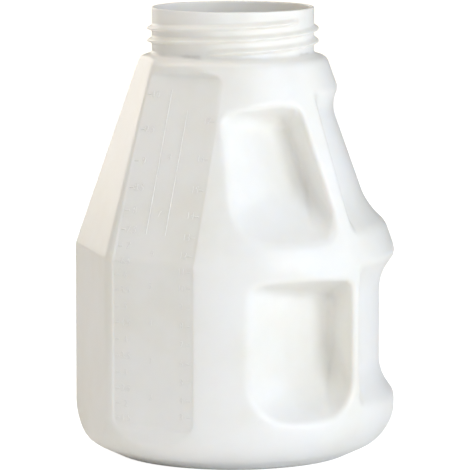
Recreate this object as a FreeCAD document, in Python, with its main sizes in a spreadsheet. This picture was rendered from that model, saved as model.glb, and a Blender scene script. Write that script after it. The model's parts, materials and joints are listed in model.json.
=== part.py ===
import FreeCAD
import Part
import Sketcher
import math
import os
from FreeCAD import Placement, Rotation, Vector

# Wide-neck dispensing container for oil: one hollow blow-moulded piece.
# Millimetres. Z is up and the foot stands on Z = 0.
# The pouring front faces -Y, the palm grip faces +Y, the sides mirror across X = 0.
# It is drawn round its neck axis and then set with its footprint centred on X = Y = 0.

NODE = "container"

# Every size is written once, here.
SIZES = [
    ("body_radius", 125.0),
    ("total_height", 346.0),
    ("wall", 2.2),
    ("equator_height", 160.0),
    ("neck_radius", 62.5),
    ("neck_height", 35.5),
    ("shoulder_radius", 72.3),
    ("shoulder_drop", 3.0),
    ("shoulder_bevel", 3.6),
    ("base_rise", 17.2),
    ("base_round", 35.0),
    ("foot_radius", 88.0),
    ("foot_width", 10.0),
    ("push_up", 6.0),
    ("push_up_run", 9.0),
    ("front_depth", 11.4),
    ("front_top_depth", 4.4),
    ("side_angle", 45.0),
    ("side_depth", 5.2),
    ("side_top_depth", 3.3),
    ("side_top_gap", 10.5),
    ("panel_depth", 0.9),
    ("panel_width", 67.0),
    ("panel_low", 35.0),
    ("panel_gap", 3.0),
    ("grip_angle", 100.0),
    ("low_grip_depth", 11.6),
    ("low_grip_bottom", 47.0),
    ("low_grip_top", 156.0),
    ("low_grip_run", 16.5),
    ("high_grip_depth", 9.8),
    ("high_grip_bottom", 180.0),
    ("high_grip_top", 284.0),
    ("high_grip_run", 13.0),
    ("low_corner_depth", 64.0),
    ("low_corner_y", 62.0),
    ("low_floor_yaw", 37.9),
    ("low_wall_draft", 5.0),
    ("low_pocket_bottom", 40.0),
    ("low_pocket_top", 148.0),
    ("low_ceiling_slope", 20.0),
    ("high_corner_depth", 70.8),
    ("high_corner_y", 40.4),
    ("high_corner_z", 222.0),
    ("high_floor_yaw", 32.8),
    ("high_floor_tilt", 17.9),
    ("high_wall_draft", 7.3),
    ("high_wall_tilt", 13.5),
    ("high_pocket_bottom", 174.5),
    ("high_pocket_top", 276.0),
    ("high_ceiling_slope", 30.0),
    ("ledge_slope", 18.0),
    ("draw_yaw", 12.0),
    ("pocket_round", 9.0),
    ("thread_lead", 18.8),
    ("thread_turns", 1.2),
    ("thread_start", 57.0),
    ("thread_crest", 3.0),
    ("thread_depth", 3.6),
    ("thread_land", 0.8),
    ("thread_lower_run", 1.6),
    ("thread_upper_run", 3.0),
    ("block", 400.0),
]


class Size:
    """A number that also knows the sheet formula it comes from."""

    def __init__(self, number, text):
        self.number = float(number)
        self.text = text

    def __add__(self, other):
        other = as_size(other)
        return Size(self.number + other.number, "(%s + %s)" % (self.text, other.text))

    def __sub__(self, other):
        other = as_size(other)
        return Size(self.number - other.number, "(%s - %s)" % (self.text, other.text))

    def __mul__(self, other):
        other = as_size(other)
        return Size(self.number * other.number, "(%s * %s)" % (self.text, other.text))

    def __truediv__(self, other):
        other = as_size(other)
        return Size(self.number / other.number, "(%s / %s)" % (self.text, other.text))


def as_size(value):
    if isinstance(value, Size):
        return value
    return Size(value, repr(float(value)))


def cosine(angle):
    return Size(math.cos(math.radians(angle.number)), "cos(%s * 1 deg)" % angle.text)


def sine(angle):
    return Size(math.sin(math.radians(angle.number)), "sin(%s * 1 deg)" % angle.text)


doc = FreeCAD.newDocument("oil_container")
sheet = doc.addObject("Spreadsheet::Sheet", "Sizes")
for row, (alias, number) in enumerate(SIZES, start=1):
    sheet.set("A%d" % row, alias)
    sheet.set("B%d" % row, str(number))
    sheet.setAlias("B%d" % row, alias)
doc.recompute()


def size(alias):
    return Size(sheet.get(alias), "Sizes." + alias)


zero = as_size(0.0)
wall = size("wall")
block = size("block")
body_radius = size("body_radius")
total_height = size("total_height")
equator = size("equator_height")
neck_base = total_height - size("neck_height")
shoulder_height = neck_base - size("shoulder_drop")
cone_slope = (body_radius - size("shoulder_radius")) / (shoulder_height - equator)
front_offset = body_radius - size("front_depth")
front_top_offset = size("shoulder_radius") - size("front_top_depth")
side_offset = body_radius - size("side_depth")
side_top_offset = size("shoulder_radius") - size("side_top_depth")


def cone_radius(height):
    """Radius of the upper cone at a height."""
    return body_radius - cone_slope * (height - equator)


def bind(feature, prop, value):
    feature.setExpression(prop, value.text)


def origin_feature(body, role):
    for item in body.Origin.OriginFeatures:
        if item.Role == role:
            return item
    raise ValueError(role)


def outline(body, label, role, turn, points):
    """Closed straight-line sketch; turn swings its plane about Z in degrees."""
    sketch = body.newObject("Sketcher::SketchObject", label)
    sketch.Label = label
    sketch.AttachmentSupport = [(origin_feature(body, role), "")]
    sketch.MapMode = "FlatFace"
    if turn is not None:
        swing = Rotation(Vector(0, 1, 0), turn.number)
        sketch.AttachmentOffset = Placement(Vector(), swing)
        sketch.setExpression("AttachmentOffset.Rotation.Angle", turn.text)
    corners = [Vector(x.number, y.number, 0) for x, y in points]
    count = len(corners)
    for index in range(count):
        line = Part.LineSegment(corners[index], corners[(index + 1) % count])
        sketch.addGeometry(line, False)
    for index in range(count):
        joint = Sketcher.Constraint("Coincident", index, 2, (index + 1) % count, 1)
        sketch.addConstraint(joint)
    for index, (x, y) in enumerate(points):
        for kind, value in (("DistanceX", x), ("DistanceY", y)):
            spot = Sketcher.Constraint(kind, index, 1, value.number)
            row = sketch.addConstraint(spot)
            sketch.setExpression("Constraints[%d]" % row, value.text)
    return sketch


def ring_edges(shape, radius, height):
    """Names of the circular edges of one radius at one height."""
    names = []
    for index, edge in enumerate(shape.Edges, start=1):
        curve = edge.Curve
        if not isinstance(curve, Part.Circle):
            continue
        near_radius = abs(curve.Radius - radius.number) < 0.01
        near_height = abs(curve.Center.z - height.number) < 0.01
        if near_radius and near_height:
            names.append("Edge%d" % index)
    return names


def round_edges(body, label, names, radius):
    base = body.Tip
    fillet = body.newObject("PartDesign::Fillet", label)
    fillet.Label = label
    fillet.Base = (base, names)
    bind(fillet, "Radius", radius)
    body.Tip = fillet
    doc.recompute()
    return fillet


def pocket(body, sketch, label, width=None):
    """Take away a sketched profile, right through or over one width."""
    cut = body.newObject("PartDesign::Pocket", label)
    cut.Label = label
    cut.Profile = sketch
    cut.Midplane = True
    if width is None:
        cut.Type = "ThroughAll"
    else:
        cut.Type = "Length"
        bind(cut, "Length", width)
    sketch.Visibility = False
    return cut


def flat(body, tag, angle, low, high, top, inset, depth, bottom, width):
    """Flat face: upright below the equator, leaning with the cone above it."""
    turn = angle - 180.0
    far = body_radius * 2.0
    points = [
        (low - depth - inset, bottom),
        (low - depth - inset, equator),
        (high - depth - inset, top),
        (far, top),
        (far, bottom),
    ]
    sketch = outline(body, tag + "_outline", "YZ_Plane", turn, points)
    return pocket(body, sketch, tag, width)


def grip(body, tag, inner, edge, inset):
    """Turned recess round the back; inner and edge are (radius, height) pairs."""
    (low_in, high_in) = inner
    (low_edge, high_edge) = edge
    sink = inset * 0.4
    points = [
        (low_in[0] - inset, low_in[1] - sink),
        (high_in[0] - inset, high_in[1] + sink),
        (high_edge[0] * 2.0 - high_in[0] - inset, high_edge[1] * 2.0 - high_in[1] + sink),
        (low_edge[0] * 2.0 - low_in[0] - inset, low_edge[1] * 2.0 - low_in[1] - sink),
    ]
    sketch = outline(body, tag + "_outline", "YZ_Plane", None, points)
    groove = body.newObject("PartDesign::Groove", tag)
    groove.Label = tag
    groove.Profile = sketch
    groove.ReferenceAxis = (sketch, ["V_Axis"])
    groove.Midplane = True
    bind(groove, "Angle", size("grip_angle") + inset)
    sketch.Visibility = False
    return groove


def form(tag, inset, top):
    """The container's form drawn in by an inset, with its neck running up to top."""
    body = doc.addObject("PartDesign::Body", tag)
    body.Label = tag
    radius = body_radius - inset
    foot = size("foot_radius") - inset * 0.5
    foot_inside = size("foot_radius") - size("foot_width") + inset * 0.5
    rise = size("push_up")
    bevel = size("shoulder_bevel")
    fall = size("shoulder_drop") / (size("shoulder_radius") - size("neck_radius"))
    points = [
        (zero, rise + inset),
        (foot_inside - size("push_up_run"), rise + inset),
        (foot_inside, inset),
        (foot, inset),
        (radius, size("base_rise") + inset * 0.6),
        (radius, equator),
        (cone_radius(shoulder_height - bevel) - inset, shoulder_height - bevel - inset * 0.3),
        (size("shoulder_radius") - bevel - inset * 0.8,
         shoulder_height + fall * bevel - inset * 0.6),
        (size("neck_radius") - inset, neck_base - inset * 0.6),
        (size("neck_radius") - inset, top),
        (zero, top),
    ]
    profile = outline(body, tag + "_profile", "XZ_Plane", None, points)
    turned = body.newObject("PartDesign::Revolution", tag + "_turned")
    turned.Label = tag + "_turned"
    turned.Profile = profile
    turned.ReferenceAxis = (profile, ["V_Axis"])
    turned.Angle = 360.0
    profile.Visibility = False
    doc.recompute()
    edges = ring_edges(body.Tip.Shape, radius, points[4][1])
    round_edges(body, tag + "_base_round", edges, size("base_round") - inset)

    under = zero - 10.0
    flat(body, tag + "_front", as_size(0.0), front_offset, front_top_offset,
         neck_base, inset, zero, under, None)
    for side, sign in (("right", 1.0), ("left", -1.0)):
        angle = size("side_angle") * sign
        flat(body, "%s_%s" % (tag, side), angle, side_offset, side_top_offset,
             neck_base - size("side_top_gap") - inset, inset, zero, under, None)
        flat(body, "%s_%s_panel" % (tag, side), angle, side_offset, side_top_offset,
             neck_base - size("side_top_gap") - size("panel_gap") - inset,
             inset, size("panel_depth"), size("panel_low"), size("panel_width"))

    run = size("low_grip_run")
    depth = size("low_grip_depth")
    bottom = size("low_grip_bottom")
    high = size("low_grip_top")
    grip(body, tag + "_low_grip",
         ((body_radius - depth, bottom + run), (body_radius - depth, high - run)),
         ((body_radius, bottom), (body_radius, high)), inset)
    run = size("high_grip_run")
    depth = size("high_grip_depth")
    bottom = size("high_grip_bottom")
    high = size("high_grip_top")
    grip(body, tag + "_high_grip",
         ((cone_radius(bottom + run) - depth, bottom + run),
          (cone_radius(high - run) - depth, high - run)),
         ((cone_radius(bottom), bottom), (cone_radius(high), high)), inset)
    doc.recompute()
    return body


def half_space(label, point, yaw, pitch, grow):
    """Big block with one face on a plane, lying on the side its local X points to."""
    box = doc.addObject("Part::Box", label)
    box.Label = label
    for prop in ("Length", "Width", "Height"):
        bind(box, prop, block)
    half = block * 0.5
    place = "placement(vector(%s; %s; %s); rotation(%s; %s; 0))" % (
        point[0].text, point[1].text, point[2].text, yaw.text, pitch.text)
    shift = "placement(vector(%s; %s; %s); rotation(0; 0; 0))" % (
        (zero - grow).text, (zero - half).text, (zero - half).text)
    box.setExpression("Placement", place + " * " + shift)
    return box


def side_pocket(tag, corner, floor, back, bottom, top, slope, reach, grow):
    """Wedge-shaped hand pocket cut into the +X side, grown by a clearance."""
    draw = size("draw_yaw")
    outward = (cosine(draw), sine(draw))
    ledge = size("ledge_slope")
    right = as_size(90.0)
    top_point = (outward[0] * reach[1], outward[1] * reach[1], top)
    low_point = (outward[0] * reach[0], outward[1] * reach[0], bottom)
    parts = [
        half_space(tag + "_floor", corner, floor[0], zero - floor[1], grow),
        half_space(tag + "_back", corner, back[0] - 90.0, back[1], grow),
        half_space(tag + "_ceiling", top_point, draw, right - slope, grow),
        half_space(tag + "_ledge", low_point, draw, ledge - right, grow),
    ]
    common = doc.addObject("Part::MultiCommon", tag + "_wedge")
    common.Label = tag + "_wedge"
    common.Shapes = parts
    doc.recompute()
    body = doc.addObject("PartDesign::Body", tag)
    body.Label = tag
    body.BaseFeature = common
    doc.recompute()
    names = []
    shape = body.Tip.Shape
    limit = body_radius.number * 0.9
    for index, edge in enumerate(shape.Edges, start=1):
        middle = edge.valueAt((edge.FirstParameter + edge.LastParameter) / 2.0)
        ends = [math.hypot(vertex.X, vertex.Y) for vertex in edge.Vertexes]
        if min(ends) < limit and edge.Length > 5.0:
            names.append("Edge%d" % index)
    round_edges(body, tag + "_round", names, size("pocket_round") + grow)
    return body


def mirrored(source):
    twin = doc.addObject("Part::Mirroring", source.Name + "_twin")
    twin.Label = source.Label + "_twin"
    twin.Source = source
    twin.Normal = Vector(1, 0, 0)
    return twin


def pockets(tag, grow):
    low = side_pocket(
        tag + "_low_pocket",
        (body_radius - size("low_corner_depth"), size("low_corner_y"), size("low_pocket_bottom")),
        (size("low_floor_yaw"), zero),
        (size("low_wall_draft"), zero),
        size("low_pocket_bottom"), size("low_pocket_top"), size("low_ceiling_slope"),
        (body_radius, body_radius), grow)
    bottom = size("high_pocket_bottom")
    top = size("high_pocket_top")
    high = side_pocket(
        tag + "_high_pocket",
        (body_radius - size("high_corner_depth"), size("high_corner_y"), size("high_corner_z")),
        (size("high_floor_yaw"), size("high_floor_tilt")),
        (size("high_wall_draft"), size("high_wall_tilt")),
        bottom, top, size("high_ceiling_slope"),
        (cone_radius(bottom), cone_radius(top)), grow)
    return [low, high, mirrored(low), mirrored(high)]


def carve(label, base, tools):
    """Take the tools away from the base one after another."""
    for index, tool in enumerate(tools, start=1):
        cut = doc.addObject("Part::Cut", "%s_%d" % (label, index))
        cut.Label = "%s_%d" % (label, index)
        cut.Base = base
        cut.Tool = tool
        base = cut
    doc.recompute()
    return base


def thread(body, tag, start):
    """One start of the neck thread: gentle upper flank, short lower flank."""
    root = size("neck_radius") - wall * 0.25
    crest = size("neck_radius") + size("thread_depth")
    middle = neck_base + size("thread_crest")
    land = size("thread_land") * 0.5
    points = [
        (root, middle - land - size("thread_lower_run")),
        (crest, middle - land),
        (crest, middle + land),
        (root, middle + land + size("thread_upper_run")),
    ]
    sketch = outline(body, tag + "_outline", "YZ_Plane", start - 180.0, points)
    helix = body.newObject("PartDesign::AdditiveHelix", tag)
    helix.Label = tag
    helix.Profile = sketch
    helix.ReferenceAxis = (sketch, ["V_Axis"])
    helix.Mode = "pitch-turns-angle"
    bind(helix, "Pitch", size("thread_lead"))
    bind(helix, "Turns", size("thread_turns"))
    helix.LeftHanded = False
    sketch.Visibility = False
    doc.recompute()
    return helix


outer_body = form("outer", zero, total_height)
thread(outer_body, "thread_one", size("thread_start"))
thread(outer_body, "thread_two", size("thread_start") + 180.0)
outer = carve("outer_carved", outer_body, pockets("outer", zero))
inner_body = form("inner", wall, total_height + 5.0)
inner = carve("inner_carved", inner_body, pockets("inner", wall))

container = doc.addObject("Part::Cut", NODE)
container.Label = NODE
container.Base = outer
container.Tool = inner
bind(container, "Placement.Base.y", size("front_depth") * -0.5)
doc.recompute()

for item in doc.Objects:
    if "Invalid" in item.State or "Error" in item.State:
        raise RuntimeError("%s did not build: %s" % (item.Label, item.State))
    if hasattr(item, "Shape") and not item.isDerivedFrom("App::GeoFeatureGroupExtension"):
        if item.TypeId in ("Sketcher::SketchObject", "App::Plane", "App::Line"):
            continue
        if item.Shape.isNull() or not item.Shape.isValid():
            raise RuntimeError("%s has no sound shape" % item.Label)

if len(container.Shape.Solids) != 1:
    raise RuntimeError("the container is not one solid")

os.makedirs("parts", exist_ok=True)
container.Shape.exportStep("parts/%s.step" % NODE)
box = container.Shape.optimalBoundingBox()
print("volume %.0f mm3" % container.Shape.Volume)
print("box %.2f %.2f %.2f  %.2f %.2f %.2f" % (
    box.XMin, box.YMin, box.ZMin, box.XMax, box.YMax, box.ZMax))
print("holds %.2f litres to the brim" % (inner.Shape.Volume / 1e6))
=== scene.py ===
# %% [markdown]
# # A ten litre oil container, dressed for its picture
# The object is one hollow piece of milky polyethylene: a round body, a cone with flat
# faces, four hand pockets, a recessed palm grip and a wide threaded neck.
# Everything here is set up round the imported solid, so its box is read first.

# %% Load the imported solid
import bmesh
import bpy
import json
import math
import numpy as np
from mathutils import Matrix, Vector

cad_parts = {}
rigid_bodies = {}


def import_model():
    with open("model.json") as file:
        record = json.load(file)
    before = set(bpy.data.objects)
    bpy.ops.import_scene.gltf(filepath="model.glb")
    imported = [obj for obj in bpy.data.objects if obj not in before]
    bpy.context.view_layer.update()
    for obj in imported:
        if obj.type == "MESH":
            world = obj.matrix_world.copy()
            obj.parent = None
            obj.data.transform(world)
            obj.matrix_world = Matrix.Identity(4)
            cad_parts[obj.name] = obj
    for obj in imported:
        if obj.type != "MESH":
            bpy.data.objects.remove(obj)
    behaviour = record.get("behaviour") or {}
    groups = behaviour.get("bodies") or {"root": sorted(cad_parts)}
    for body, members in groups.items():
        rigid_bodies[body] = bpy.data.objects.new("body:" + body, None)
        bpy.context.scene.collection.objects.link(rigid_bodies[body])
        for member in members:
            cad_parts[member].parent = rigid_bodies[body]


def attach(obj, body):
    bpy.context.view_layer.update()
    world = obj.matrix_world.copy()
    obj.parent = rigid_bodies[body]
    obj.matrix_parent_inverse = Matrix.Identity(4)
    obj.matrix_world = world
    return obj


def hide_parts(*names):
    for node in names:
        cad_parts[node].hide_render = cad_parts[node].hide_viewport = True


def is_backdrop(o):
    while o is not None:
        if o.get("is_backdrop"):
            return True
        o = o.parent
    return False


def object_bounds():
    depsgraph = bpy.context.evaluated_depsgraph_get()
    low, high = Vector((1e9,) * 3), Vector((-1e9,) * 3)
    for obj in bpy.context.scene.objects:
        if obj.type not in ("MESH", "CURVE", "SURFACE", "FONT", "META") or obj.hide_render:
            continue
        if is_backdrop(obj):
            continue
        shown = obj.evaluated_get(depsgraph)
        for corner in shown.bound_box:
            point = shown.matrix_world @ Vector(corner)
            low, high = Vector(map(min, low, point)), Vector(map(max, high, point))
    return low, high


for stray in list(bpy.data.objects):
    bpy.data.objects.remove(stray)
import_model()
cad_low, cad_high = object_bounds()
print("CAD box", [round(v, 4) for v in (*cad_low, *cad_high)])

# %% [markdown]
# The moulded form is drawn in millimetres round the neck axis, the way a mould maker
# would: half spaces, cones and cylinders that meet in soft radii. The solid is centred
# on its footprint, so its neck axis stands a little in front of the origin.

# %% Sizes of the moulded form, in millimetres
MM = 0.001
BODY_RADIUS = 125.0
AXIS_Y = cad_high.y / MM - BODY_RADIUS
TOTAL_HEIGHT = 346.0
EQUATOR = 160.0
WALL = 2.2
NECK_RADIUS = 62.5
NECK_BASE = TOTAL_HEIGHT - 35.5
SHOULDER_RADIUS = 72.3
SHOULDER = NECK_BASE - 3.0
CONE_SLOPE = (BODY_RADIUS - SHOULDER_RADIUS) / (SHOULDER - EQUATOR)
JOIN = 312.2        # where the blown skins meet the turned neck
SKIN_TOP = 315.0    # the skins are made a little too tall, then trimmed

# Flats: distance from the axis up to the equator, distance at the top, and the top's height.
FRONT_FLAT = (113.6, 67.9, NECK_BASE)
SIDE_FLAT = (119.8, 69.0, NECK_BASE - 10.5)
SIDE_ANGLE = math.radians(45.0)


def cone_radius(height):
    return BODY_RADIUS - CONE_SLOPE * (height - EQUATOR)


print("neck axis at y", round(AXIS_Y, 2), "cone leans", round(CONE_SLOPE, 3), "mm per mm")

# %% [markdown]
# A distance field gives the soft edges of blow moulding. Each function takes arrays of
# points and returns how far outside a shape they are; two shapes meet in a radius
# instead of an edge. This was chosen over bevels because pockets, flats and grip cross
# each other at odd angles, where bevels break.

# %% Shapes that meet in a radius
def round_and(a, b, radius):
    """Overlap of two shapes, its edge rounded."""
    inside = np.minimum(np.maximum(a, b), -radius)
    return inside + np.hypot(np.maximum(a + radius, 0.0), np.maximum(b + radius, 0.0))


def round_or(a, b, radius):
    return -round_and(-a, -b, radius)


def take_away(shape, tool, radius):
    return round_and(shape, -tool, radius)


def plane(x, y, z, point, yaw, tilt):
    """Distance behind a plane that faces a yaw and tilt, in degrees."""
    yaw, tilt = math.radians(yaw), math.radians(tilt)
    nx, ny = math.cos(tilt) * math.cos(yaw), math.cos(tilt) * math.sin(yaw)
    return -((x - point[0]) * nx + (y - point[1]) * ny + (z - point[2]) * math.sin(tilt))


def leaning_flat(out, z, flat, radius):
    """Upright flat below the equator that leans with the cone above it."""
    low, high, top = flat
    slope = (low - high) / (top - EQUATOR)
    lean = (out - low + slope * (z - EQUATOR)) / math.hypot(1.0, slope)
    return round_and(out - low, lean, radius)


# %% [markdown]
# Under its flats and pockets the container is a turned shape: an upright wall, a cone, a
# sloping shoulder and a base that curls in to a standing ring with a hollow inside it. A
# profile swept round the axis would do as well, but a field can be cut by the pockets.

# %% The round blank: cylinder, cone, shoulder, base and foot
FOOT_RADIUS, FOOT_RISE = 88.0, 17.2     # the base climbs this much from foot to wall
HOLLOW_RADIUS, HOLLOW_HEIGHT, HOLLOW_LEAN = 78.0, 6.0, 1.5


def blank(rho, z):
    cone = (rho - BODY_RADIUS + CONE_SLOPE * (z - EQUATOR)) / math.hypot(1.0, CONE_SLOPE)
    fall = (NECK_BASE - SHOULDER) / (SHOULDER_RADIUS - NECK_RADIUS)
    shoulder = (z - NECK_BASE + fall * (rho - NECK_RADIUS)) / math.hypot(1.0, fall)
    rise = FOOT_RISE / (BODY_RADIUS - FOOT_RADIUS)
    base_cone = (rise * (rho - FOOT_RADIUS) - z) / math.hypot(1.0, rise)
    shape = round_and(rho - BODY_RADIUS, cone, 1.7)
    shape = round_and(shape, shoulder, 2.6)
    shape = round_and(shape, base_cone, 18.7)
    shape = round_and(shape, -z, 1.2)
    lean = (rho - HOLLOW_RADIUS + HOLLOW_LEAN * z) / math.hypot(1.0, HOLLOW_LEAN)
    hollow = round_and(lean, z - HOLLOW_HEIGHT, 3.0)
    return take_away(shape, hollow, 1.5)


print("middle of the base is", round(float(blank(np.array(0.0), np.array(0.0))), 1),
      "mm outside the blank at floor level")

# %% [markdown]
# Four pockets let a hand close round the edge of the container. Each is a wedge: it starts
# at nothing beside the front panel and ends at a wall, behind which the grip is left. They
# are cut as the overlap of four leaning planes, because their corners are all soft.


# %% A hand pocket: a wedge between floor, back wall, ceiling and ledge
DRAW_YAW = 12.0     # the mould half opens this way, in degrees from the side


def cut_pocket(shape, x, y, z, corner, floor, back, bottom, top, slopes, rounds):
    """Takes a pocket out of a shape.

    Floor and back wall are a yaw and a tilt through one corner. The slopes lean ceiling
    and ledge. The rounds are floor to back wall, ceiling, ledge, lip, and the wider lip
    along the back wall, where fingers curl round it."""
    draw = math.radians(DRAW_YAW)
    out_x, out_y = math.cos(draw), math.sin(draw)
    high = min(BODY_RADIUS, cone_radius(top))
    low = min(BODY_RADIUS, cone_radius(bottom))
    floor_side = plane(x, y, z, corner, *floor)
    back_side = plane(x, y, z, corner, *back)
    ceiling = plane(x, y, z, (out_x * high, out_y * high, top), DRAW_YAW, slopes[0] - 90.0)
    ledge = plane(x, y, z, (out_x * low, out_y * low, bottom), DRAW_YAW, 90.0 - slopes[1])
    tool = round_and(floor_side, back_side, rounds[0])
    tool = round_and(tool, ceiling, rounds[1])
    tool = round_and(tool, ledge, rounds[2])
    others = np.maximum(np.maximum(floor_side, ceiling), ledge)
    share = np.clip((back_side - others + 8.0) / 16.0, 0.0, 1.0)
    share = share * share * (3.0 - 2.0 * share)
    return take_away(shape, tool, rounds[3] + (rounds[4] - rounds[3]) * share)


LOW_POCKET = dict(corner=(61.0, 62.0, 40.0), floor=(37.9, 0.0), back=(-85.0, 0.0), bottom=40.0,
                  top=148.0, slopes=(20.0, 32.0), rounds=(7.0, 6.0, 20.0, 3.2, 4.5))
HIGH_POCKET = dict(corner=(54.2, 40.4, 222.0), floor=(32.8, 17.9), back=(-82.7, -13.5),
                   bottom=174.5, top=276.0, slopes=(30.0, 28.0),
                   rounds=(7.0, 7.0, 15.0, 3.0, 4.5))
for name, pocket in (("low", LOW_POCKET), ("high", HIGH_POCKET)):
    print(name, "pocket is", pocket["top"] - pocket["bottom"], "mm tall")

# %% [markdown]
# Round the back the wall is drawn in between the ridges, so that a palm can rest there.
# The recess is turned like the blank: only its floor, its two ends and its front edges
# have to be given.

# %% The palm grip: a turned recess round the back
GRIP_HALF_ANGLE = math.radians(52.5)
GRIP_ROUND = 6.0
LOW_GRIP = dict(low=(BODY_RADIUS - 11.6, 63.5), high=(BODY_RADIUS - 11.6, 139.5),
                low_edge=(BODY_RADIUS, 47.0), high_edge=(BODY_RADIUS, 156.0))
HIGH_GRIP = dict(low=(cone_radius(193.0) - 9.8, 193.0), high=(cone_radius(271.0) - 9.8, 271.0),
                 low_edge=(cone_radius(180.0), 180.0), high_edge=(cone_radius(284.0), 284.0))


def grip(x, y, rho, z, low, high, low_edge, high_edge):
    """Recess whose floor and ends run through (radius, height) points, and its lip."""
    def line(a, b):
        run, lift = b[0] - a[0], b[1] - a[1]
        return ((rho - a[0]) * lift - (z - a[1]) * run) / math.hypot(run, lift)
    shape = round_and(-line(low, high), -line(low_edge, low), GRIP_ROUND)
    shape = round_and(shape, -line(high, high_edge), GRIP_ROUND)
    side = -(y * math.sin(GRIP_HALF_ANGLE) - x * math.cos(GRIP_HALF_ANGLE))
    share = np.clip((side - shape + 6.0) / 12.0, 0.0, 1.0)
    lip = 2.0 + 3.5 * share * share * (3.0 - 2.0 * share)
    return round_and(shape, side, GRIP_ROUND * 0.6), lip


print("palm grip spans", round(2.0 * math.degrees(GRIP_HALF_ANGLE)), "degrees")

# %% [markdown]
# Left and right of the front the side is flat and carries a measuring panel, sunk by less
# than a millimetre with rounded corners. It is part of the field, so its border keeps the
# same soft edge as the rest of the moulding.

# %% The measuring panel: a shallow recess with rounded corners in each side flat
PANEL_DEPTH = 0.7
PANEL_LOW, PANEL_TOP = 35.0, SIDE_FLAT[2] - 3.0
PANEL_CORNER = 6.0


def panel_outline(along, z):
    """How far outside the panel's rounded outline a point on the flat is."""
    half = 34.6 - 2.0 * np.clip((z - EQUATOR) / (PANEL_TOP - EQUATOR), 0.0, 1.0)
    side = np.abs(along) - half + PANEL_CORNER
    end = np.abs(z - (PANEL_LOW + PANEL_TOP) / 2) - (PANEL_TOP - PANEL_LOW) / 2 + PANEL_CORNER
    corner = np.hypot(np.maximum(side, 0.0), np.maximum(end, 0.0))
    return corner + np.minimum(np.maximum(side, end), 0.0) - PANEL_CORNER


def side_level(x, y, z):
    """Height over the side flat, and the place along it."""
    out = x * math.sin(SIDE_ANGLE) - y * math.cos(SIDE_ANGLE)
    along = x * math.cos(SIDE_ANGLE) + y * math.sin(SIDE_ANGLE)
    return leaning_flat(out, z, SIDE_FLAT, 0.6), along


print("panel from", PANEL_LOW, "to", PANEL_TOP, "mm up")

# %% [markdown]
# Now the parts are put together in the order in which a mould maker would cut them: the
# flats first, then the panels, the palm grips and the pockets, and last the neck.

# %% The whole outer form, open at the neck
def form(points):
    x, y, z = np.abs(points[..., 0]), points[..., 1], points[..., 2]
    rho = np.hypot(x, y)
    shape = blank(rho, z)
    shape = round_and(shape, leaning_flat(-y, z, FRONT_FLAT, 0.3), 1.2)
    level, along = side_level(x, y, z)
    flat = round_and(-level, z - SIDE_FLAT[2], 3.0)
    shape = take_away(shape, flat, 0.9)
    sunk = (panel_outline(along, z) - level - PANEL_DEPTH) * 0.6
    shape = take_away(shape, round_and(sunk, -level - PANEL_DEPTH, 0.3), 0.7)
    for recess in (LOW_GRIP, HIGH_GRIP):
        shape = take_away(shape, *grip(x, y, rho, z, **recess))
    for pocket in (LOW_POCKET, HIGH_POCKET):
        shape = cut_pocket(shape, x, y, z, **pocket)
    neck = np.maximum(rho - NECK_RADIUS, 290.0 - z)
    return round_or(shape, neck, 1.5)


print("centre lies", round(-float(form(np.array([0.0, 0.0, EQUATOR]))), 1), "mm deep in the form")

# %% [markdown]
# The field becomes a skin of quads with one point in each cell that the surface
# crosses. The points are then pulled exactly onto the surface and evened out, so the
# flats come out flat and the radii round.

# %% Turn a field into an even skin of quads
def gradient(field, points, step=0.05):
    grad = np.empty_like(points)
    for axis in range(3):
        shift = np.zeros(3)
        shift[axis] = step
        grad[:, axis] = (field(points + shift) - field(points - shift)) / (2.0 * step)
    return grad


def pull_onto(field, points, rounds):
    for _ in range(rounds):
        grad = gradient(field, points)
        size = np.maximum((grad ** 2).sum(1), 0.2)
        points = points - (field(points) / size)[:, None] * grad
    return points


def cell_mesh(field, cell, height):
    """Quads round a field, from under the foot up to a height, open at the top."""
    half = int(math.ceil((BODY_RADIUS + 6.0) / cell)) * cell
    ticks = np.arange(-half - cell / 2, half + cell, cell)
    levels = np.arange(height + cell / 2 - cell * math.ceil((height + 12.0) / cell),
                       height + cell * 2, cell)
    grid = np.stack(np.meshgrid(ticks, ticks, levels, indexing="ij"), axis=-1)
    inside = np.empty(grid.shape[:3], bool)
    for row in range(len(ticks)):
        inside[row] = field(grid[row]) < 0.0
    corners = sum(inside[a:a + len(ticks) - 1, b:b + len(ticks) - 1, c:c + len(levels) - 1]
                  .astype(np.int8) for a in (0, 1) for b in (0, 1) for c in (0, 1))
    active = (corners > 0) & (corners < 8)
    number = np.full(active.shape, -1, np.int64)
    number[active] = np.arange(active.sum())
    spots = np.argwhere(active)
    points = np.stack([ticks[spots[:, 0]], ticks[spots[:, 1]], levels[spots[:, 2]]], 1)
    points = points + cell / 2
    quads = []
    for axis in range(3):
        first = [slice(None)] * 3
        second = [slice(None)] * 3
        first[axis], second[axis] = slice(0, -1), slice(1, None)
        one, two = inside[tuple(first)], inside[tuple(second)]
        sides = [a for a in range(3) if a != axis]
        for flip in (False, True):
            edges = np.argwhere((two & ~one) if flip else (one & ~two))
            ok = np.ones(len(edges), bool)
            for side in sides:
                ok &= (edges[:, side] > 0) & (edges[:, side] < inside.shape[side] - 1)
            edges = edges[ok]
            around = []
            for da, db in ((0, 0), (1, 0), (1, 1), (0, 1)):
                cells = edges.copy()
                cells[:, sides[0]] -= 1 - da
                cells[:, sides[1]] -= 1 - db
                around.append(number[cells[:, 0], cells[:, 1], cells[:, 2]])
            around = np.stack(around, 1)
            if flip != (axis == 1):
                around = around[:, ::-1]
            quads.append(around)
    quads = np.concatenate(quads)
    quads = quads[(quads >= 0).all(1)]
    quads = quads[(points[quads][:, :, 2] < height).all(1)]
    return compact(points, quads)


def compact(points, quads):
    used = np.unique(quads)
    renumber = np.full(len(points), -1, np.int64)
    renumber[used] = np.arange(len(used))
    return points[used], renumber[quads]


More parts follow.
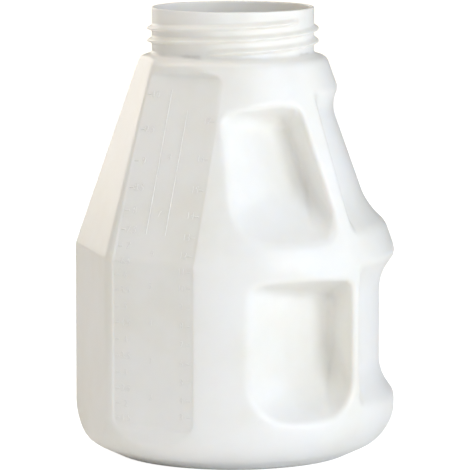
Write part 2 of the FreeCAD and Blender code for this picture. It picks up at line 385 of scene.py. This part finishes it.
def even_out(field, points, quads, rounds):
    """Slide the points towards their neighbours' middle, keeping them on the surface."""
    pairs = np.concatenate([quads[:, [k, (k + 1) % 4]] for k in range(4)])
    pairs = np.unique(np.sort(pairs, 1), axis=0)
    count = np.bincount(pairs.ravel(), minlength=len(points))[:, None]
    for _ in range(rounds):
        total = np.zeros_like(points)
        for axis in range(3):
            total[:, axis] = (np.bincount(pairs[:, 0], points[pairs[:, 1], axis], len(points))
                              + np.bincount(pairs[:, 1], points[pairs[:, 0], axis], len(points)))
        points = pull_onto(field, points * 0.5 + total / count * 0.5, 1)
    return pull_onto(field, points, 2)


def skin(field, cell):
    points, quads = cell_mesh(field, cell, SKIN_TOP)
    points = pull_onto(field, points, 3)
    points = even_out(field, points, quads, 3)
    return points, quads


outer_points, outer_quads = skin(form, 2.8)
inner_points, inner_quads = skin(lambda p: form(p) + WALL, 6.0)
print("outer quads", len(outer_quads), "inner quads", len(inner_quads))

# %% [markdown]
# The neck is turned rather than blown free, so it is drawn as rings: the outer skin is
# trimmed level, carried up over the rounded rim and back down to the inner skin. One
# closed surface comes out, which is what light that passes through the wall needs.
#
# The lid screws on with a coarse thread of two starts. Each start is one rounded ridge
# that climbs a little more than once round the neck and fades out at its ends.

# %% Height of the thread over the plain neck
LEAD = 18.8                 # climb in one turn
TURNS = 1.2
STARTS = (57.0, 237.0)      # degrees round the neck
CREST = NECK_BASE + 3.8
RIDGE_LIFT = (-2.2, -1.9, -1.2, -0.8, -0.4, 0.35, 0.8, 1.4, 2.4, 3.4)
RIDGE_DEPTH = (0.0, 0.25, 2.2, 3.1, 3.55, 3.55, 3.25, 2.3, 0.7, 0.0)


def thread(angle, z):
    height = np.zeros(len(angle))
    for start in STARTS:
        first = np.mod(np.degrees(angle) + 90.0 - start, 360.0) / 360.0
        for share in (first, first + 1.0):
            crest = CREST + LEAD * share
            ends = np.clip(np.minimum(share, TURNS - share) * 16.0, 0.0, 1.0)
            ridge = np.interp(z - crest, RIDGE_LIFT, RIDGE_DEPTH)
            height = np.maximum(height, ridge * ends * (2.0 - ends))
    return height


print("thread climbs", round(LEAD * TURNS, 1), "mm and stands out", max(RIDGE_DEPTH), "mm")


# %% Trim both skins level and join them over the rim
INNER_NECK = NECK_RADIUS - WALL
STEPS = 240                 # points in each ring of the neck
RIM_ROUND = 1.1


def refine(mesh):
    """Three times finer quads along the border of each measuring panel."""
    mesh.verts.ensure_lookup_table()
    spots = np.array([v.co for v in mesh.verts])
    level, along = side_level(np.abs(spots[:, 0]), spots[:, 1], spots[:, 2])
    near = (np.abs(panel_outline(along, spots[:, 2])) < 3.2) & (np.abs(level) < 3.0)
    faces = [f for f in mesh.faces if any(near[v.index] for v in f.verts)]
    edges = list({e for f in faces for e in f.edges})
    bmesh.ops.subdivide_edges(mesh, edges=edges, cuts=2, use_grid_fill=True)
    spots = np.array([v.co for v in mesh.verts])
    for vertex, spot in zip(mesh.verts, pull_onto(form, spots, 3)):
        if vertex.co.z < JOIN - 1.0:
            vertex.co = spot


def trimmed(points, quads, fine=False):
    """The skin cut level at the join, and the points of its open loop."""
    mesh = bmesh.new()
    corners = [mesh.verts.new(p) for p in points]
    for quad in quads:
        mesh.faces.new([corners[i] for i in quad])
    everything = mesh.verts[:] + mesh.edges[:] + mesh.faces[:]
    bmesh.ops.bisect_plane(mesh, geom=everything, plane_co=(0, 0, JOIN),
                           plane_no=(0, 0, 1), clear_outer=True, dist=0.05)
    if fine:
        refine(mesh)
    mesh.verts.index_update()
    loop = [v.index for v in mesh.verts if any(e.is_boundary for e in v.link_edges)]
    spots = np.array([v.co for v in mesh.verts])
    faces = [[v.index for v in f.verts] for f in mesh.faces]
    mesh.free()
    return spots, faces, loop


def zip_loops(spots, first, second):
    """Triangles between two loops that run round the axis at different steps."""
    turn = [np.mod(np.arctan2(spots[ring, 1], spots[ring, 0]), 2.0 * math.pi)
            for ring in (first, second)]
    first, second = (np.array(ring)[np.argsort(angle)].tolist()
                     for ring, angle in zip((first, second), turn))
    turn = [np.sort(angle) for angle in turn]
    a = b = 0
    faces = []
    while a < len(first) or b < len(second):
        next_a = turn[0][a + 1] if a + 1 < len(first) else turn[0][0] + 2 * math.pi
        next_b = turn[1][b + 1] if b + 1 < len(second) else turn[1][0] + 2 * math.pi
        one, two = first[a % len(first)], second[b % len(second)]
        if b >= len(second) or (a < len(first) and next_a <= next_b):
            faces.append([one, first[(a + 1) % len(first)], two])
            a += 1
        else:
            faces.append([one, second[(b + 1) % len(second)], two])
            b += 1
    return faces


outer_spots, faces, outer_loop = trimmed(outer_points, outer_quads, fine=True)
inner_spots, inner_faces, inner_loop = trimmed(inner_points, inner_quads)
angles = np.linspace(0.0, 2.0 * math.pi, STEPS, endpoint=False)
rim = [(NECK_RADIUS, z) for z in np.arange(JOIN + 0.4, 344.4, 0.62)]
rim += [(NECK_RADIUS - RIM_ROUND + RIM_ROUND * math.cos(a),
         TOTAL_HEIGHT - RIM_ROUND + RIM_ROUND * math.sin(a))
        for a in np.radians(np.arange(10, 180, 20))]
rim += [(INNER_NECK, z) for z in (344.0, 341.0, 336.0, 330.0, 324.0, 318.0)]
spots = [outer_spots]
rings = []
start = len(outer_spots)
for radius, height in rim:
    wide = radius + (thread(angles, height) if radius == NECK_RADIUS else 0.0)
    ring = np.stack([wide * np.cos(angles), wide * np.sin(angles),
                     np.full(STEPS, height)], 1)
    spots.append(ring)
    rings.append(list(range(start, start + STEPS)))
    start += STEPS
for low, high in zip(rings, rings[1:]):
    for i in range(STEPS):
        j = (i + 1) % STEPS
        faces.append([low[i], low[j], high[j], high[i]])
faces += [[i + start for i in reversed(face)] for face in inner_faces]
spots = np.concatenate(spots + [inner_spots])
faces += zip_loops(spots, outer_loop, rings[0])
faces += zip_loops(spots, [i + start for i in inner_loop], rings[-1])
print("points", len(spots), "faces", len(faces))


# %% One function makes a smooth piece from points and faces
def make_piece(name, spots, faces, material=None, smooth=True, merge=0.0):
    """Takes points in millimetres round the neck axis, and merges those that near."""
    mesh = bpy.data.meshes.new(name)
    placed = (np.asarray(spots) + (0.0, AXIS_Y, 0.0)) * MM
    mesh.from_pydata(placed.tolist(), [], faces)
    mesh.validate()
    tidy = bmesh.new()
    tidy.from_mesh(mesh)
    if merge:
        bmesh.ops.remove_doubles(tidy, verts=tidy.verts, dist=merge * MM)
    bmesh.ops.recalc_face_normals(tidy, faces=tidy.faces)
    tidy.to_mesh(mesh)
    tidy.free()
    mesh.polygons.foreach_set("use_smooth", [smooth] * len(mesh.polygons))
    piece = bpy.data.objects.new(name, mesh)
    bpy.context.scene.collection.objects.link(piece)
    if material:
        mesh.materials.append(material)
    return piece


body = make_piece("blown_body", spots, faces)
check = bmesh.new()
check.from_mesh(body.data)
print("open edges", sum(e.is_boundary for e in check.edges), "volume cm3",
      round(check.calc_volume(signed=True) * 1e6, 1))
check.free()


# %% [markdown]
# The real container is blow moulded from high density polyethylene without pigment. It
# is milky: light goes a few millimetres into the wall and comes out softened. The
# surface is satin, with a faint orange peel from the mould and slightly uneven whiteness
# where the wall is thicker or thinner.

# %% Small helpers for colours and shader nodes
def colour(code):
    """Linear colour from a six digit sRGB code."""
    parts = [int(code[i:i + 2], 16) / 255.0 for i in (1, 3, 5)]
    return tuple(p / 12.92 if p <= 0.04045 else ((p + 0.055) / 1.055) ** 2.4
                 for p in parts) + (1.0,)


def add_node(tree, kind, settings=(), links=()):
    """A node with its settings, and sockets fed by values or by other sockets."""
    node = tree.nodes.new(kind)
    for key, value in dict(settings).items():
        setattr(node, key, value)
    for socket, source in dict(links).items():
        if isinstance(source, bpy.types.NodeSocket):
            tree.links.new(source, node.inputs[socket])
        else:
            node.inputs[socket].default_value = source
    return node


def new_material(name):
    material = bpy.data.materials.new(name)
    material.use_nodes = True
    tree = material.node_tree
    tree.nodes.clear()
    return material, tree


# %% The milky polyethylene of the container
hdpe, tree = new_material("blow_moulded_hdpe")
place = add_node(tree, "ShaderNodeTexCoord").outputs["Object"]
cloud = add_node(tree, "ShaderNodeTexNoise", {},
                 {"Vector": place, "Scale": 14.0, "Detail": 3.0, "Roughness": 0.6})
tint = add_node(tree, "ShaderNodeValToRGB", {}, {"Fac": cloud.outputs["Fac"]})
tint.color_ramp.elements[0].position = 0.32
tint.color_ramp.elements[0].color = colour("#F6F3EC")
tint.color_ramp.elements[1].position = 0.68
tint.color_ramp.elements[1].color = colour("#FDFCF8")
peel = add_node(tree, "ShaderNodeTexNoise", {},
                {"Vector": place, "Scale": 420.0, "Detail": 2.0, "Roughness": 0.55})
sheen = add_node(tree, "ShaderNodeMapRange", {},
                 {"Value": cloud.outputs["Fac"], "To Min": 0.28, "To Max": 0.36})
bump = add_node(tree, "ShaderNodeBump", {},
                {"Height": peel.outputs["Fac"], "Strength": 0.06, "Distance": 0.0004})
skin_shader = add_node(tree, "ShaderNodeBsdfPrincipled", {}, {
    "Base Color": tint.outputs["Color"], "Roughness": sheen.outputs["Result"],
    "Normal": bump.outputs["Normal"], "IOR": 1.5, "Subsurface Weight": 0.5,
    "Subsurface Radius": (1.0, 0.85, 0.7), "Subsurface Scale": 0.003})
add_node(tree, "ShaderNodeOutputMaterial", {}, {"Surface": skin_shader.outputs["BSDF"]})
body.data.materials.append(hdpe)
print("plastic with", len(tree.nodes), "nodes on", body.name)

# %% [markdown]
# Figures and marks are the same plastic, but the mould was etched there, so they come out
# dull and a little whiter. They are too thin for light to spread inside them, so this
# shader has a rough surface and no scattering.

# %% The same plastic where etching in the mould left it dull and whiter
frosted, tree = new_material("frosted_hdpe")
place = add_node(tree, "ShaderNodeTexCoord").outputs["Object"]
grain = add_node(tree, "ShaderNodeTexNoise", {},
                 {"Vector": place, "Scale": 900.0, "Detail": 2.0, "Roughness": 0.6})
pale = add_node(tree, "ShaderNodeValToRGB", {}, {"Fac": grain.outputs["Fac"]})
pale.color_ramp.elements[0].color = colour("#EFEDE8")
pale.color_ramp.elements[1].color = colour("#FBFAF7")
dull = add_node(tree, "ShaderNodeBsdfPrincipled", {}, {
    "Base Color": pale.outputs["Color"], "Roughness": 0.7, "IOR": 1.5})
add_node(tree, "ShaderNodeOutputMaterial", {}, {"Surface": dull.outputs["BSDF"]})
print("materials", [m.name for m in bpy.data.materials])


# %% [markdown]
# The scales beside the front are moulded into the panel floor. Their marks stand where
# that much liquid would stand, so the inside is measured slice by slice first. Litres
# run on one side and pints on the other, with quarts between.

# %% How high each fill stands
SWELL = 1.03    # the thin wall bulges under a full load, and the scale allows for it


def fill_heights(step, most):
    """Heights of every whole step of litres, up to the most."""
    levels = np.arange(4.0, 306.0, 2.0)
    ticks = np.arange(-124.0, 126.0, 4.0)
    grid = np.stack(np.meshgrid(ticks, ticks, levels, indexing="ij"), axis=-1)
    field = form(grid) + WALL
    share = np.clip(0.5 - field / 4.0, 0.0, 1.0)
    litres = np.cumsum(share.sum((0, 1))) * 4.0 * 4.0 * 2.0 * 1e-6
    wanted = np.arange(1, int(most / step + 1e-6) + 1) * step / SWELL
    return np.interp(wanted, litres, levels + 1.0), litres[-1]


litre_marks, full = fill_heights(0.5, 10.0)
pint_marks, _ = fill_heights(0.56826, 10.0)
quart_marks, _ = fill_heights(1.13652, 10.0)
print("full litres", round(full, 2), "ten litres at", round(litre_marks[-1], 1))


# %% Place things on the panel floor
def panel_spot(side, along, z, lift):
    """Point over the floor of the right (+1) or left (-1) panel."""
    low, high, top = SIDE_FLAT
    slope = (low - high) / (top - EQUATOR) if z > EQUATOR else 0.0
    out = low - slope * (z - EQUATOR)
    tall = math.hypot(1.0, slope)
    out, z = out + (lift - PANEL_DEPTH) / tall, z + (lift - PANEL_DEPTH) * slope / tall
    c, s = math.cos(SIDE_ANGLE), math.sin(SIDE_ANGLE)
    return np.array([side * (out * s + side * along * c), -out * c + side * along * s, z])


def bar(side, start, end, width, height):
    """A low ridge between two (along, height) points on the panel."""
    run = np.array(end, float) - np.array(start, float)
    across = np.array([-run[1], run[0]]) / np.linalg.norm(run) * width / 2
    spots = []
    for point in (np.array(start, float), np.array(end, float)):
        for share, lift in ((-1.0, -0.1), (-0.7, height * 0.8), (0.0, height),
                            (0.7, height * 0.8), (1.0, -0.1)):
            spots.append(panel_spot(side, *(point + across * share), lift))
    faces = [[k, k + 1, k + 6, k + 5] for k in range(4)]
    faces += [[0, 4, 9, 5], [0, 1, 2, 3, 4], [5, 6, 7, 8, 9]]
    return spots, faces


def digits(text, size):
    """Outline of a number as a thin mesh, in millimetres round its middle."""
    words = bpy.data.curves.new("number", "FONT")
    words.body, words.size, words.extrude = text, size, 0.2
    words.align_x, words.align_y = "CENTER", "CENTER"
    words.resolution_u = 3
    holder = bpy.data.objects.new("number", words)
    mesh = bpy.data.meshes.new_from_object(holder)
    spots = np.array([v.co for v in mesh.vertices])
    faces = [list(f.vertices) for f in mesh.polygons]
    bpy.data.meshes.remove(mesh)
    bpy.data.objects.remove(holder)
    bpy.data.curves.remove(words)
    return spots, faces


# %% Numbers, ticks and guide lines
def merged(parts):
    spots, faces, start = [], [], 0
    for part_spots, part_faces in parts:
        spots.extend(part_spots)
        faces.extend([i + start for i in face] for face in part_faces)
        start += len(part_spots)
    return spots, faces


def number_on(side, text, along, z, size):
    spots, faces = digits(text, size)
    return [panel_spot(side, along + p[0], z + p[1], p[2] + 0.12) for p in spots], faces


LOWEST_MARK = PANEL_LOW + 5.0
# Heights, amount in one step, place along the panel, size of the figures.
COLUMNS = ((litre_marks, 0.5, -24.0, 7.4), (pint_marks, 1.0, 25.0, 7.0),
           (quart_marks, 1.0, -2.0, 6.2))
GUIDES = ((-10.4, 287.0), (6.3, 273.0))     # place along the panel and upper end
GUIDE_FOOT = 181.0


def scale_parts(side):
    parts = []
    for heights, step, along, size in COLUMNS:
        for count, z in enumerate(heights, 1):
            if z >= LOWEST_MARK:
                parts.append(number_on(side, f"{count * step:g}", side * along, z, size))
    for along, top in GUIDES:
        parts.append(bar(side, (side * along, GUIDE_FOOT), (side * along, top), 0.9, 0.45))
    return parts


print("marks", [int((heights >= LOWEST_MARK).sum()) for heights, *_ in COLUMNS])


# %% [markdown]
# Beside each litre and pint stands a short bead. All beads are the same, so one small
# node tree makes a bead and puts a copy on every mark, lying flat along the panel.

# %% A node tree that puts beads on marks
def bead_tree():
    tree = bpy.data.node_groups.new("beads_on_marks", "GeometryNodeTree")
    sockets = (("Marks", "NodeSocketGeometry"), ("Length", "NodeSocketFloat"),
               ("Radius", "NodeSocketFloat"), ("Plastic", "NodeSocketMaterial"))
    for name, kind in sockets:
        tree.interface.new_socket(name, in_out="INPUT", socket_type=kind)
    tree.interface.new_socket("Beads", in_out="OUTPUT", socket_type="NodeSocketGeometry")
    given = add_node(tree, "NodeGroupInput")
    far = add_node(tree, "ShaderNodeCombineXYZ", {}, {"X": given.outputs["Length"]})
    line = add_node(tree, "GeometryNodeCurvePrimitiveLine", {}, {"End": far.outputs[0]})
    ring = add_node(tree, "GeometryNodeCurvePrimitiveCircle", {},
                    {"Resolution": 8, "Radius": given.outputs["Radius"]})
    bead = add_node(tree, "GeometryNodeCurveToMesh", {}, {
        "Curve": line.outputs[0], "Profile Curve": ring.outputs[0], "Fill Caps": True})
    out = add_node(tree, "GeometryNodeInputNamedAttribute", {"data_type": "FLOAT_VECTOR"},
                   {"Name": "out"})
    along = add_node(tree, "GeometryNodeInputNamedAttribute", {"data_type": "FLOAT_VECTOR"},
                     {"Name": "along"})
    stand = add_node(tree, "FunctionNodeAlignRotationToVector", {"axis": "Z"},
                     {"Vector": out.outputs["Attribute"]})
    lie = add_node(tree, "FunctionNodeAlignRotationToVector",
                   {"axis": "X", "pivot_axis": "Z"},
                   {"Rotation": stand.outputs[0], "Vector": along.outputs["Attribute"]})
    copies = add_node(tree, "GeometryNodeInstanceOnPoints", {}, {
        "Points": given.outputs["Marks"], "Instance": bead.outputs[0],
        "Rotation": lie.outputs[0]})
    real = add_node(tree, "GeometryNodeRealizeInstances", {}, {0: copies.outputs[0]})
    dressed = add_node(tree, "GeometryNodeSetMaterial", {}, {
        "Geometry": real.outputs[0], "Material": given.outputs["Plastic"]})
    add_node(tree, "NodeGroupOutput", {}, {0: dressed.outputs[0]})
    return tree


def beads(name, tree, side, length, radius):
    """Beads along both edges of one panel, as a plain mesh."""
    spots, outs, runs = [], [], []
    for marks, edge, way in ((litre_marks, -33.0, 1.0), (pint_marks, 33.0, -1.0)):
        for z in marks[marks > LOWEST_MARK]:
            inset = edge - math.copysign(2.0 * max(0.0, (z - EQUATOR) / 137.0), edge)
            spot = panel_spot(side, side * inset, z, 0.0)
            spots.append(spot)
            outs.append(panel_spot(side, side * inset, z, 1.0) - spot)
            runs.append(panel_spot(side, side * (inset + way), z, 0.0) - spot)
    mesh = bpy.data.meshes.new(name)
    mesh.from_pydata(((np.array(spots) + (0.0, AXIS_Y, 0.0)) * MM).tolist(), [], [])
    for key, values in (("out", outs), ("along", runs)):
        layer = mesh.attributes.new(key, "FLOAT_VECTOR", "POINT")
        layer.data.foreach_set("vector", np.array(values, np.float32).ravel())
    piece = bpy.data.objects.new(name, mesh)
    bpy.context.scene.collection.objects.link(piece)
    modifier = piece.modifiers.new("beads", "NODES")
    modifier.node_group = tree
    inputs = {item.name: item.identifier for item in tree.interface.items_tree
              if item.in_out == "INPUT"}
    modifier[inputs["Length"]] = length * MM
    modifier[inputs["Radius"]] = radius * MM
    modifier[inputs["Plastic"]] = frosted
    bpy.context.view_layer.update()
    graph = bpy.context.evaluated_depsgraph_get()
    plain = bpy.data.meshes.new_from_object(piece.evaluated_get(graph))
    piece.modifiers.clear()
    piece.data = plain
    plain.polygons.foreach_set("use_smooth", [True] * len(plain.polygons))
    return piece


tree = bead_tree()
marks = [beads(name, tree, side, 3.6, 0.4) for name, side in
         (("marks_right", 1), ("marks_left", -1))]
print("beads", [len(piece.data.polygons) for piece in marks])

# %% The numbers and lines of both panels
scales = [make_piece(name, *merged(scale_parts(side)), frosted, smooth=False, merge=0.001)
          for name, side in (("scale_right", 1), ("scale_left", -1))]
print("scale faces", [len(piece.data.polygons) for piece in scales])

# %% [markdown]
# A white seamless studio. The key and back lamps stand on the right and make the pockets
# read, the front lamp is only a fill, and the two on the left graze the front: one from
# above for the slope, one low down for the sheen that tells slope from upright wall. A
# top lamp and an even sky lift the shadows. Only the camera sees the floor and the sky as
# white paper, so the container is not lit by its own backdrop.

# %% Floor, sky and lamps
mesh = bpy.data.meshes.new("floor")
mesh.from_pydata([(-3, -3, 0), (3, -3, 0), (3, 3, 0), (-3, 3, 0)], [], [(0, 1, 2, 3)])
floor = bpy.data.objects.new("floor", mesh)
bpy.context.scene.collection.objects.link(floor)
paper, tree = new_material("white_paper")
direct = add_node(tree, "ShaderNodeLightPath")
matt = add_node(tree, "ShaderNodeBsdfDiffuse", {}, {"Color": colour("#FCFCFC")})
lift = add_node(tree, "ShaderNodeMath", {"operation": "MULTIPLY"},
                {0: direct.outputs["Is Camera Ray"], 1: 0.85})
glow = add_node(tree, "ShaderNodeEmission", {}, {"Strength": lift.outputs["Value"]})
both = add_node(tree, "ShaderNodeAddShader", {}, {0: matt.outputs[0], 1: glow.outputs[0]})
add_node(tree, "ShaderNodeOutputMaterial", {}, {"Surface": both.outputs[0]})
mesh.materials.append(paper)

world = bpy.data.worlds.new("studio")
bpy.context.scene.world = world
world.use_nodes = True
tree = world.node_tree
tree.nodes.clear()
direct = add_node(tree, "ShaderNodeLightPath")
level = add_node(tree, "ShaderNodeMapRange", {}, {
    "Value": direct.outputs["Is Camera Ray"], "To Min": 0.18, "To Max": 1.3})
sky = add_node(tree, "ShaderNodeBackground", {}, {
    "Color": colour("#FFF8EC"), "Strength": level.outputs["Result"]})
add_node(tree, "ShaderNodeOutputWorld", {}, {"Surface": sky.outputs["Background"]})


LAMP_DISTANCE = 2.4
LAMP_TARGET = Vector((0.0, 0.0, 0.17))


def soft_lamp(name, azimuth, elevation, size, power, code):
    """A square lamp aimed at the middle of the container."""
    lamp = bpy.data.lights.new(name, "AREA")
    lamp.size, lamp.energy, lamp.color = size, power, colour(code)[:3]
    holder = bpy.data.objects.new(name, lamp)
    a, e = math.radians(azimuth), math.radians(elevation)
    way = Vector((math.sin(a) * math.cos(e), -math.cos(a) * math.cos(e), math.sin(e)))
    holder.location = LAMP_TARGET + way * LAMP_DISTANCE
    holder.rotation_euler = way.to_track_quat("Z", "Y").to_euler()
    bpy.context.scene.collection.objects.link(holder)


soft_lamp("key", 118, 16, 1.6, 29.0, "#EEF5FF")
soft_lamp("back", 165, 10, 1.6, 13.0, "#EEF5FF")
soft_lamp("front", 65, 8, 1.6, 11.0, "#FFFFFF")
soft_lamp("left", -20, 48, 1.6, 17.0, "#FFF8EE")
soft_lamp("far_left", -75, 14, 1.2, 9.0, "#FFF8EE")
soft_lamp("top", 75, 86, 1.6, 10.0, "#FFFFFF")

# %% [markdown]
# The camera stands far back with a long lens, a little above the rim, so the sides look
# nearly parallel and only a sliver of the mouth shows.

# %% Camera
DISTANCE = 3.3
HEIGHT = 0.588
AZIMUTH = math.radians(75.5)
LOOK_DOWN = 7.24
lens = bpy.data.cameras.new("camera")
lens.lens, lens.sensor_width = 329.2, 36.0
lens.shift_x = 0.0043
camera = bpy.data.objects.new("camera", lens)
camera.location = (DISTANCE * math.sin(AZIMUTH),
                   AXIS_Y * MM - DISTANCE * math.cos(AZIMUTH), HEIGHT)
camera.rotation_euler = (math.radians(90.0 - LOOK_DOWN), 0.0, AZIMUTH)
bpy.context.scene.collection.objects.link(camera)
bpy.context.scene.camera = camera
bpy.context.scene.view_settings.view_transform = "Standard"
print("camera at", [round(v, 3) for v in camera.location])

# %% [markdown]
# Last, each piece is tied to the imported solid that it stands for, and both boxes are
# written down so that the sizes can be compared.

# %% Tie the pieces to the solid and finish
for piece in [body, *scales, *marks]:
    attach(piece, "root")
    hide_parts("container")
floor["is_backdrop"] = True
low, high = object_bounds()
print("visual box", [round(v, 4) for v in (*low, *high)])
